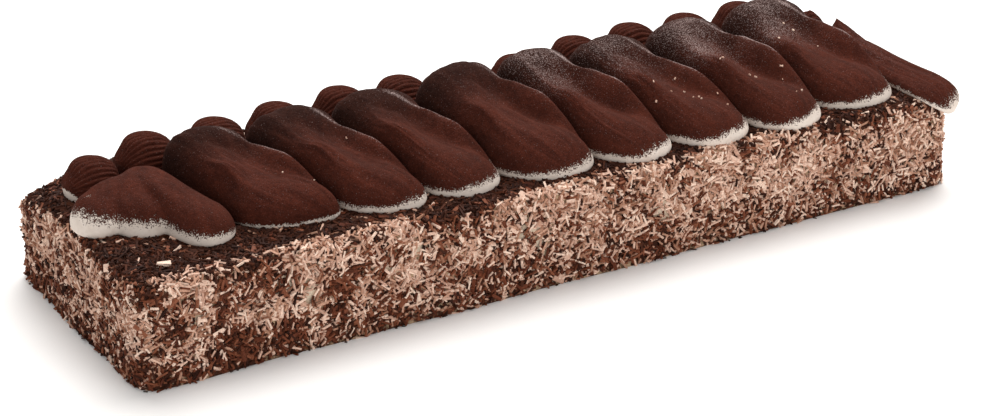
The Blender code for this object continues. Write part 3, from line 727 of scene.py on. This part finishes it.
def dusted_cream(name):
    """Whipped mascarpone under sieved cocoa powder: matt, velvety and dark red-brown, with a
    ragged edge where the powder stops and the ivory cream shows."""
    finish, tree, shader = new_finish(name, 0.92)
    shader.inputs["Specular IOR Level"].default_value = 0.07
    shader.inputs["Sheen Weight"].default_value = 0.03
    shader.inputs["Sheen Roughness"].default_value = 0.5
    shader.inputs["Sheen Tint"].default_value = linear("#B06A53")
    where = add_node(tree, "ShaderNodeTexCoord").outputs["Object"]
    over = add_node(tree, "ShaderNodeAttribute", {"attribute_name": "over_rim"}).outputs["Fac"]
    dimming = add_node(tree, "ShaderNodeAttribute", {"attribute_name": "dimming"}).outputs["Fac"]
    sugar_and_glint = add_node(tree, "ShaderNodeAttribute", {"attribute_name": "sugar_and_glint"}).outputs["Fac"]
    flow = add_node(tree, "ShaderNodeAttribute", {"attribute_name": "flow"}).outputs["Vector"]
    # powder grains of about 0.4 mm, clumps of 2 mm, drifts of 12 mm
    grains = add_node(tree, "ShaderNodeTexNoise", None, {"Vector": where, "Scale": 1900.0, "Detail": 2.0})
    clumps = add_node(tree, "ShaderNodeTexNoise", None, {"Vector": where, "Scale": 420.0, "Detail": 3.0})
    drifts = add_node(tree, "ShaderNodeTexNoise", None, {"Vector": where, "Scale": 75.0, "Detail": 2.0})
    strokes = add_node(tree, "ShaderNodeTexNoise", None, {"Vector": flow, "Scale": 0.35, "Detail": 3.0})
    ragged = add_node(tree, "ShaderNodeMath", {"operation": "MULTIPLY_ADD"}, {
        0: clumps.outputs["Fac"], 1: 0.7, 2: over})
    uneven = add_node(tree, "ShaderNodeMath", {"operation": "MULTIPLY_ADD"}, {
        0: drifts.outputs["Fac"], 1: 0.5, 2: ragged.outputs[0]})
    dotted = add_node(tree, "ShaderNodeMath", {"operation": "MULTIPLY_ADD"}, {
        0: grains.outputs["Fac"], 1: 1.6, 2: uneven.outputs[0]})
    cover = add_node(tree, "ShaderNodeMapRange", None, {
        "Value": dotted.outputs[0], "From Min": 2.28, "From Max": 2.5})
    warm = add_node(tree, "ShaderNodeMix", {"data_type": "RGBA"}, {
        "Factor": strokes.outputs["Fac"], 6: linear("#2A130E"), 7: linear("#4E2419")})
    fleck = add_node(tree, "ShaderNodeMapRange", None, {
        "Value": grains.outputs["Fac"], "From Min": 0.3, "From Max": 0.7,
        "To Min": 0.68, "To Max": 1.3})
    # Painted shade: where the dimming is high, on the domes at the back of the petals, the cocoa turns
    # darker and greyer; where it is negative, as in the rosettes' grooves, lighter
    layer = add_node(tree, "ShaderNodeMix", {"data_type": "RGBA"}, {
        "Factor": dimming, 6: (1.12, 1.1, 1.08, 1.0), 7: (0.5, 0.66, 0.74, 1.0)})
    mottle = add_node(tree, "ShaderNodeMapRange", None, {
        "Value": clumps.outputs["Fac"], "From Min": 0.3, "From Max": 0.7,
        "To Min": 0.85, "To Max": 1.15})
    speckled = add_node(tree, "ShaderNodeMath", {"operation": "MULTIPLY"}, {
        0: fleck.outputs["Result"], 1: mottle.outputs["Result"]})
    layered = add_node(tree, "ShaderNodeVectorMath", {"operation": "MULTIPLY"}, {
        0: warm.outputs[2], 1: layer.outputs[2]})
    cocoa = add_node(tree, "ShaderNodeVectorMath", {"operation": "SCALE"}, {
        0: layered.outputs[0], "Scale": speckled.outputs[0]})
    # Icing sugar on the domes and the pale crest line, the line partly a painted highlight
    thick = add_node(tree, "ShaderNodeMath", {"operation": "MULTIPLY_ADD"}, {
        0: drifts.outputs["Fac"], 1: 0.9, 2: 0.2})
    strewn_sugar_and_glint = add_node(tree, "ShaderNodeMath", {"operation": "MULTIPLY"}, {
        0: thick.outputs[0], 1: sugar_and_glint})
    sifted = add_node(tree, "ShaderNodeTexNoise", None, {"Vector": where, "Scale": 2300.0, "Detail": 1.0})
    grainy = add_node(tree, "ShaderNodeMath", {"operation": "MULTIPLY_ADD"}, {
        0: strewn_sugar_and_glint.outputs[0], 1: 0.42, 2: sifted.outputs["Fac"]})
    white = add_node(tree, "ShaderNodeMapRange", None, {
        "Value": grainy.outputs[0], "From Min": 0.67, "From Max": 1.0, "To Max": 0.8})
    sugared_and_glinting = add_node(tree, "ShaderNodeMix", {"data_type": "RGBA"}, {
        "Factor": white.outputs["Result"], 6: cocoa.outputs[0], 7: linear("#AC9995")})
    cream = add_node(tree, "ShaderNodeMix", {"data_type": "RGBA"}, {
        "Factor": clumps.outputs["Fac"], 6: linear("#CFC0B3"), 7: linear("#EBE0D6")})
    both = add_node(tree, "ShaderNodeMix", {"data_type": "RGBA"}, {
        "Factor": cover.outputs["Result"], 6: cream.outputs[2], 7: sugared_and_glinting.outputs[2]})
    tree.links.new(both.outputs[2], shader.inputs["Base Color"])
    powder = add_node(tree, "ShaderNodeMath", {"operation": "MULTIPLY_ADD"}, {
        0: clumps.outputs["Fac"], 1: 1.5, 2: grains.outputs["Fac"]})
    raised = add_node(tree, "ShaderNodeMath", {"operation": "MULTIPLY"}, {
        0: powder.outputs[0], 1: cover.outputs["Result"]})
    bump = add_node(tree, "ShaderNodeBump", None, {
        "Strength": 0.7, "Distance": 0.0005, "Height": raised.outputs[0]})
    tree.links.new(bump.outputs["Normal"], shader.inputs["Normal"])
    return finish


def limit_at(limit, front_y, share):
    """Plan x of the line between two petals, given at the front and at the back, along a petal."""
    y = front_y + (PETAL_BACK - front_y) * share
    return limit[0] + (limit[1] - limit[0]) * (y - PETAL_FRONT) / (PETAL_BACK - PETAL_FRONT)


petal_finish = dusted_cream("cocoa_dusted_mascarpone")
petals = []
left_limit = PETAL_FIRST_LEFT
for number, (front_x, front_y, dome_x, front_right, lobe, dome) in enumerate(PETALS):
    if number + 1 < len(PETALS):
        right_limit = (front_right, (dome_x + PETALS[number + 1][2]) / 2)
    else:
        right_limit = (front_right, PETAL_LAST_BACK)

    def left(share):
        middle = front_x + (dome_x - front_x) * share
        return middle - limit_at(left_limit, front_y, share) - GAP / 2

    def right(share):
        middle = front_x + (dome_x - front_x) * share
        return limit_at(right_limit, front_y, share) - middle - GAP / 2

    petals.append(fine_petal(f"petal_{number + 2:02d}", (front_x, front_y), (dome_x, PETAL_BACK),
                             Vector((1, 0)), left, right, lobe, dome, RIMS[number], FROSTS[number],
                             crest=CREST_HEIGHTS[number]))
    left_limit = right_limit

# The last petal is lower, hangs a little over the front edge, and its end was drawn up to a point
# as the tube was lifted off. Front point, back point, half width, heights of lobe and dome
END_PETAL = ((355.5, -7.0), (347.5, 62.5), 10.0, 6.5, 9.5)
END_LEAN = ((0.0, 0.0), (1.0, -0.2))
END_PEAK = 15.5
END_LIFT = -1.0
END_DROOP = 0.04
END_RIM = 3.4
END_FROST = 0.25
# How strongly the painted shade darkens the back of the end petal
END_DIMMING = 0.1


def square_to(front, back):
    """The direction in plan across a stroke, to its right."""
    line = (Vector(back) - Vector(front)).normalized()
    return Vector((line.y, -line.x))


front, back, half, lobe, dome = END_PETAL
petals.append(fine_petal("petal_10", front, back, square_to(front, back), lambda s: half,
                         lambda s: half, lobe, dome, END_RIM, END_FROST, END_LEAN, END_LIFT,
                         END_DROOP, END_PEAK, most_dimming=END_DIMMING))

# The first petal fans round the corner: three short strokes that run together at the back, each
# with its front point, back point, half width, and heights of lobe and dome
CORNER_LOBES = (
    ((0.5, 51.5), (36.0, 68.0), 10.5, 13.0, 13.5),
    ((20.0, 38.5), (34.0, 72.5), 11.0, 13.5, 15.0),
    ((43.5, 20.0), (29.5, 75.0), 11.5, 13.5, 16.0),
)
CORNER_RIM = 5.6
CORNER_TILT = -0.4
MELT_SIZE = 0.0008

strokes = []
for front, back, half, lobe, dome in CORNER_LOBES:
    strokes.append(fine_petal("stroke", front, back, square_to(front, back),
                              lambda s: half, lambda s: half, lobe, dome, 5.0, 0.0))
joined = bmesh.new()
for stroke in strokes:
    joined.from_mesh(stroke.data)
    bpy.data.objects.remove(stroke, do_unlink=True)
corner_mesh = bpy.data.meshes.new("petal_01")
joined.to_mesh(corner_mesh)
joined.free()
corner = new_object("petal_01", corner_mesh)
melt = corner.modifiers.new("melt", "REMESH")
melt.mode = "VOXEL"
melt.voxel_size = MELT_SIZE
soften = corner.modifiers.new("soften", "SMOOTH")
soften.factor = 0.5
soften.iterations = 12
corner.data = bpy.data.meshes.new_from_object(
    corner.evaluated_get(bpy.context.evaluated_depsgraph_get()))
corner.modifiers.clear()
corner.data.name = "petal_01"
corner.data.shade_smooth()
facts = []
for vert in corner.data.vertices:
    x = vert.co.x / MM + LENGTH / 2
    y = vert.co.y / MM + WIDTH / 2
    up = vert.co.z / MM / (1 - SAG * x / LENGTH) - HEIGHT - GAP
    from_front = clamp((y + 0.55 * x - 38.0) / 56.0)
    facts.append((max(0.0, up), from_front, (x - 30.0) / 22.0, 0.0))
mark_petal(corner.data, facts, CORNER_RIM, 0.0, CORNER_TILT, 0.0)
petals.insert(0, corner)
for number, petal in enumerate(petals, start=1):
    petal.data.materials.clear()
    petal.data.materials.append(petal_finish)
    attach(petal, "root")
    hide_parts(f"cream_petal_{number:02d}")

# A few blond crumbs that fell on the petals, and one chip of white chocolate on the ledge: plan x
# and y between which they fell and how many; their widths; the chip's place and its half sizes
FALLEN = ((228, 262, 18, 42, 9), (262, 300, 12, 50, 9), (292, 330, 20, 55, 7), (60, 110, 28, 52, 3))
GRAIN = (0.3, 0.65)
CHIP_AT = (17.0, 15.0)
CHIP_HALF = (2.6, 1.7, 0.6)
DROP_FROM = 90.0

chance = random.Random(3)
petal_trees = [BVHTree.FromPolygons([vert.co for vert in petal.data.vertices],
                                    [face.vertices for face in petal.data.polygons])
               for petal in petals]


def add_chip(bm, at, up, half, tint):
    """A small six-sided splinter lying flat on a surface, up being the way that surface faces."""
    along = up.orthogonal().normalized()
    along.rotate(Quaternion(up, chance.uniform(0, math.tau)))
    frame_of = Matrix((along, up.cross(along), up)).transposed().to_4x4()
    frame_of.translation = at + up * half[2] * 0.6
    made = bmesh.ops.create_cube(bm, size=2.0, matrix=frame_of @ Matrix.Diagonal((*half, 1.0)))
    for vert in made["verts"]:
        vert.co += Vector([chance.uniform(-0.22, 0.22) * half[1] for _ in range(3)])
        vert[bm.verts.layers.float["tint"]] = tint


crumbs = bmesh.new()
crumbs.verts.layers.float.new("tint")
for low_x, high_x, low_y, high_y, count in FALLEN:
    for _ in range(count):
        above = place(chance.uniform(low_x, high_x), chance.uniform(low_y, high_y), DROP_FROM)
        hits = [tree_of.ray_cast(above, Vector((0, 0, -1))) for tree_of in petal_trees]
        hits = [hit for hit in hits if hit[0] is not None]
        if hits:
            spot, up = max(hits, key=lambda hit: hit[0].z)[:2]
            wide = chance.uniform(*GRAIN) * 0.5 * MM
            add_chip(crumbs, spot, up, (wide * chance.uniform(1.0, 2.6), min(wide, 0.4 * MM), 0.3 * MM),
                     chance.random())
add_chip(crumbs, place(*CHIP_AT, HEIGHT + 1.0), Vector((0, 0, 1)),
         [size * MM for size in CHIP_HALF], 1.0)
crumb_mesh = bpy.data.meshes.new("fallen_crumbs")
crumbs.to_mesh(crumb_mesh)
crumbs.free()
crumb_mesh.materials.append(white_chocolate)
fallen = new_object("fallen_crumbs", crumb_mesh)
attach(fallen, "root")


# ------------------------------------------------------------------ rosettes
# The same cream piped with a fine-toothed star tube, turned round once or twice and lifted off.
# Each keeps the close ridges of the tube's teeth, under the same sieving of cocoa.

# Plan x, y, radius and height of the first four, then an even row
FIRST_ROSETTES = (
    (19.5, 85.5, 12.0, 15.0),
    (44.5, 91.0, 13.2, 17.5),
    (74.5, 92.5, 13.2, 16.5),
    (101.0, 92.5, 13.2, 17.5),
)
ROW_START = 129.0
ROW_PITCH = 27.1
ROW_Y = 92.5
ROW_RADIUS = 13.2
ROW_HEIGHTS = (18.5, 17.5, 15.5, 15.5, 18.5, 19.0, 18.0, 18.0)
ROSETTE_TURNS = 2.0
ROSETTE_RIDGE = 0.7
TOOTH_PITCH = 2.2
TOOTH_DEPTH = 0.62
ROSETTE_ROUNDS = 128
ROSETTE_LEVELS = 84
ROSETTE_RIM = 2.2
# A negative dimming, which lightens the grooves between the ridges
ROSETTE_DIMMING = -0.9
WORN = 1.2
HARDLY_WORN = 0.2

# The small dollop left where the tube was lifted off: plan x, y, radius, height
DOLLOP = (350.0, 86.0, 7.5, 10.5)
DOLLOP_TURNS = 1.0
DOLLOP_RIDGE = 0.5
DOLLOP_POINT = 0.8


def swirl(name, x, y, radius, height, turns, ridge, point, worn):
    """A piped mound with the ridges of the tube's teeth winding up it, its cocoa worn in the
    grooves between them."""
    teeth = max(5, round(math.pi * (radius + height) / 2 / TOOTH_PITCH))
    bm = bmesh.new()
    loops = []
    facts = []
    grooves = []
    for step in range(ROSETTE_LEVELS):
        rise = step / ROSETTE_LEVELS
        turn = math.pi / 2 * rise
        loop = []
        for k in range(ROSETTE_ROUNDS):
            angle = math.tau * k / ROSETTE_ROUNDS
            wave = 0.5 * ridge * math.cos(angle - math.tau * turns * rise) * math.cos(turn) ** 0.5
            level_out = radius * math.cos(turn) ** (0.75 + point)
            tip = math.atan2(height * math.sin(turn), -level_out * math.sin(angle))
            drift = 0.5 * noise.noise(Vector((math.cos(angle) * 1.5, rise * 2 + x, 2.0)))
            tooth = abs(math.sin(teeth * tip + drift)) * TOOTH_DEPTH
            tooth *= min(1.0, rise * 6)
            tooth *= min(1.0, 2.2 * (1 - (level_out * math.cos(angle) / radius) ** 4))
            swell = wave + tooth - 0.3
            out = (radius - ridge) * math.cos(turn) ** (0.75 + point) + swell * math.cos(turn)
            up = (height - ridge) * math.sin(turn) ** 0.92 + swell * math.sin(turn)
            at = place(x + out * math.cos(angle), y + out * math.sin(angle), HEIGHT + GAP + max(0.0, up))
            loop.append(bm.verts.new(at))
            groove = 1 - tooth / TOOTH_DEPTH
            facts.append((max(0.0, up), 0.3 + 0.3 * groove, rise, 0.0))
            grooves.append(groove)
        loops.append(loop)
    under = bm.verts.new(place(x, y, HEIGHT + GAP))
    top = bm.verts.new(place(x, y, HEIGHT + GAP + height))
    facts += [(0.0, 0.3, 0.0, 0.0), (height, 0.3, 1.0, 0.0)]
    grooves += [0.0, 0.0]
    mesh = close_rings(name, bm, loops, under, top)
    mark_petal(mesh, facts, ROSETTE_RIM, 0.0, most_dimming=ROSETTE_DIMMING, worn=worn * np.array(grooves))
    return new_object(name, mesh)


row = list(FIRST_ROSETTES)
for place_in_row, height in enumerate(ROW_HEIGHTS):
    row.append((ROW_START + ROW_PITCH * place_in_row, ROW_Y, ROW_RADIUS, height))
rosettes = []
for number, (x, y, radius, height) in enumerate(row, start=1):
    rosettes.append(swirl(f"piped_rosette_{number:02d}", x, y, radius, height, ROSETTE_TURNS,
                          ROSETTE_RIDGE, 0.0, WORN if number < 3 else HARDLY_WORN))
    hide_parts(f"rosette_{number:02d}")
x, y, radius, height = DOLLOP
rosettes.append(swirl("piped_tail", x, y, radius, height, DOLLOP_TURNS, DOLLOP_RIDGE,
                      DOLLOP_POINT, HARDLY_WORN))
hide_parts("rosette_tail")
for rosette in rosettes:
    rosette.data.materials.append(petal_finish)
    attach(rosette, "root")


# ------------------------------------------------------------------ studio
# A white laminate table, matt and almost without shade of its own, in soft light: a large box
# overhead behind the cake, and weak ones in front and left.

TABLE_HALF = 4.0
YAW = 0.5256
PITCH = 0.4431
FOCAL_LENGTH = 113.2
CAMERA_AT = (-0.5675, -0.9796, 0.5452)

floor_mesh = bpy.data.meshes.new("table")
floor_mesh.from_pydata([(x * TABLE_HALF, y * TABLE_HALF, 0.0)
                        for x, y in ((-1, -1), (1, -1), (1, 1), (-1, 1))], [], [(0, 1, 2, 3)])
floor = new_object("table", floor_mesh)
finish, tree, shader = new_finish("white_laminate", 0.6)
where = add_node(tree, "ShaderNodeTexCoord").outputs["Object"]
cloud = add_node(tree, "ShaderNodeTexNoise", None, {"Vector": where, "Scale": 3.0})
white = add_node(tree, "ShaderNodeMix", {"data_type": "RGBA"}, {
    "Factor": cloud.outputs["Fac"], 6: linear("#F6F5F4"), 7: linear("#FAFAF9")})
tree.links.new(white.outputs[2], shader.inputs["Base Color"])
floor_mesh.materials.append(finish)


def soft_light(name, at, size, power, tint):
    """A round softbox that faces the cake."""
    lamp = bpy.data.lights.new(name, "AREA")
    lamp.shape = "DISK"
    lamp.size = size
    lamp.energy = power
    lamp.color = tint
    made = new_object(name, lamp)
    made.location = at
    made.rotation_euler = (-Vector(at)).to_track_quat("-Z", "Y").to_euler()


soft_light("top_softbox", (0.4, 0.6, 1.2), 1.6, 31.0, (1.0, 0.98, 0.96))
soft_light("left_softbox", (-1.1, -0.9, 0.8), 1.2, 4.0, (1.0, 0.98, 0.97))
soft_light("front_softbox", (0.5, -1.4, 0.35), 0.9, 6.0, (1.0, 0.98, 0.97))
world = bpy.data.worlds.new("studio")
world.use_nodes = True
world.node_tree.nodes["Background"].inputs["Color"].default_value = (1.0, 0.99, 0.98, 1.0)
world.node_tree.nodes["Background"].inputs["Strength"].default_value = 0.5
bpy.context.scene.world = world
bpy.context.scene.view_settings.view_transform = "Standard"

lens = bpy.data.cameras.new("camera")
lens.lens = FOCAL_LENGTH
lens.sensor_width = 36.0
lens.clip_end = 20.0
camera = new_object("camera", lens)
ahead = Vector((math.sin(YAW) * math.cos(PITCH), math.cos(YAW) * math.cos(PITCH), -math.sin(PITCH)))
rightward = Vector((math.cos(YAW), -math.sin(YAW), 0))
upward = rightward.cross(ahead)
turned = Matrix((rightward, upward, -ahead)).transposed().to_4x4()
camera.matrix_world = Matrix.Translation(CAMERA_AT) @ turned
bpy.context.scene.camera = camera
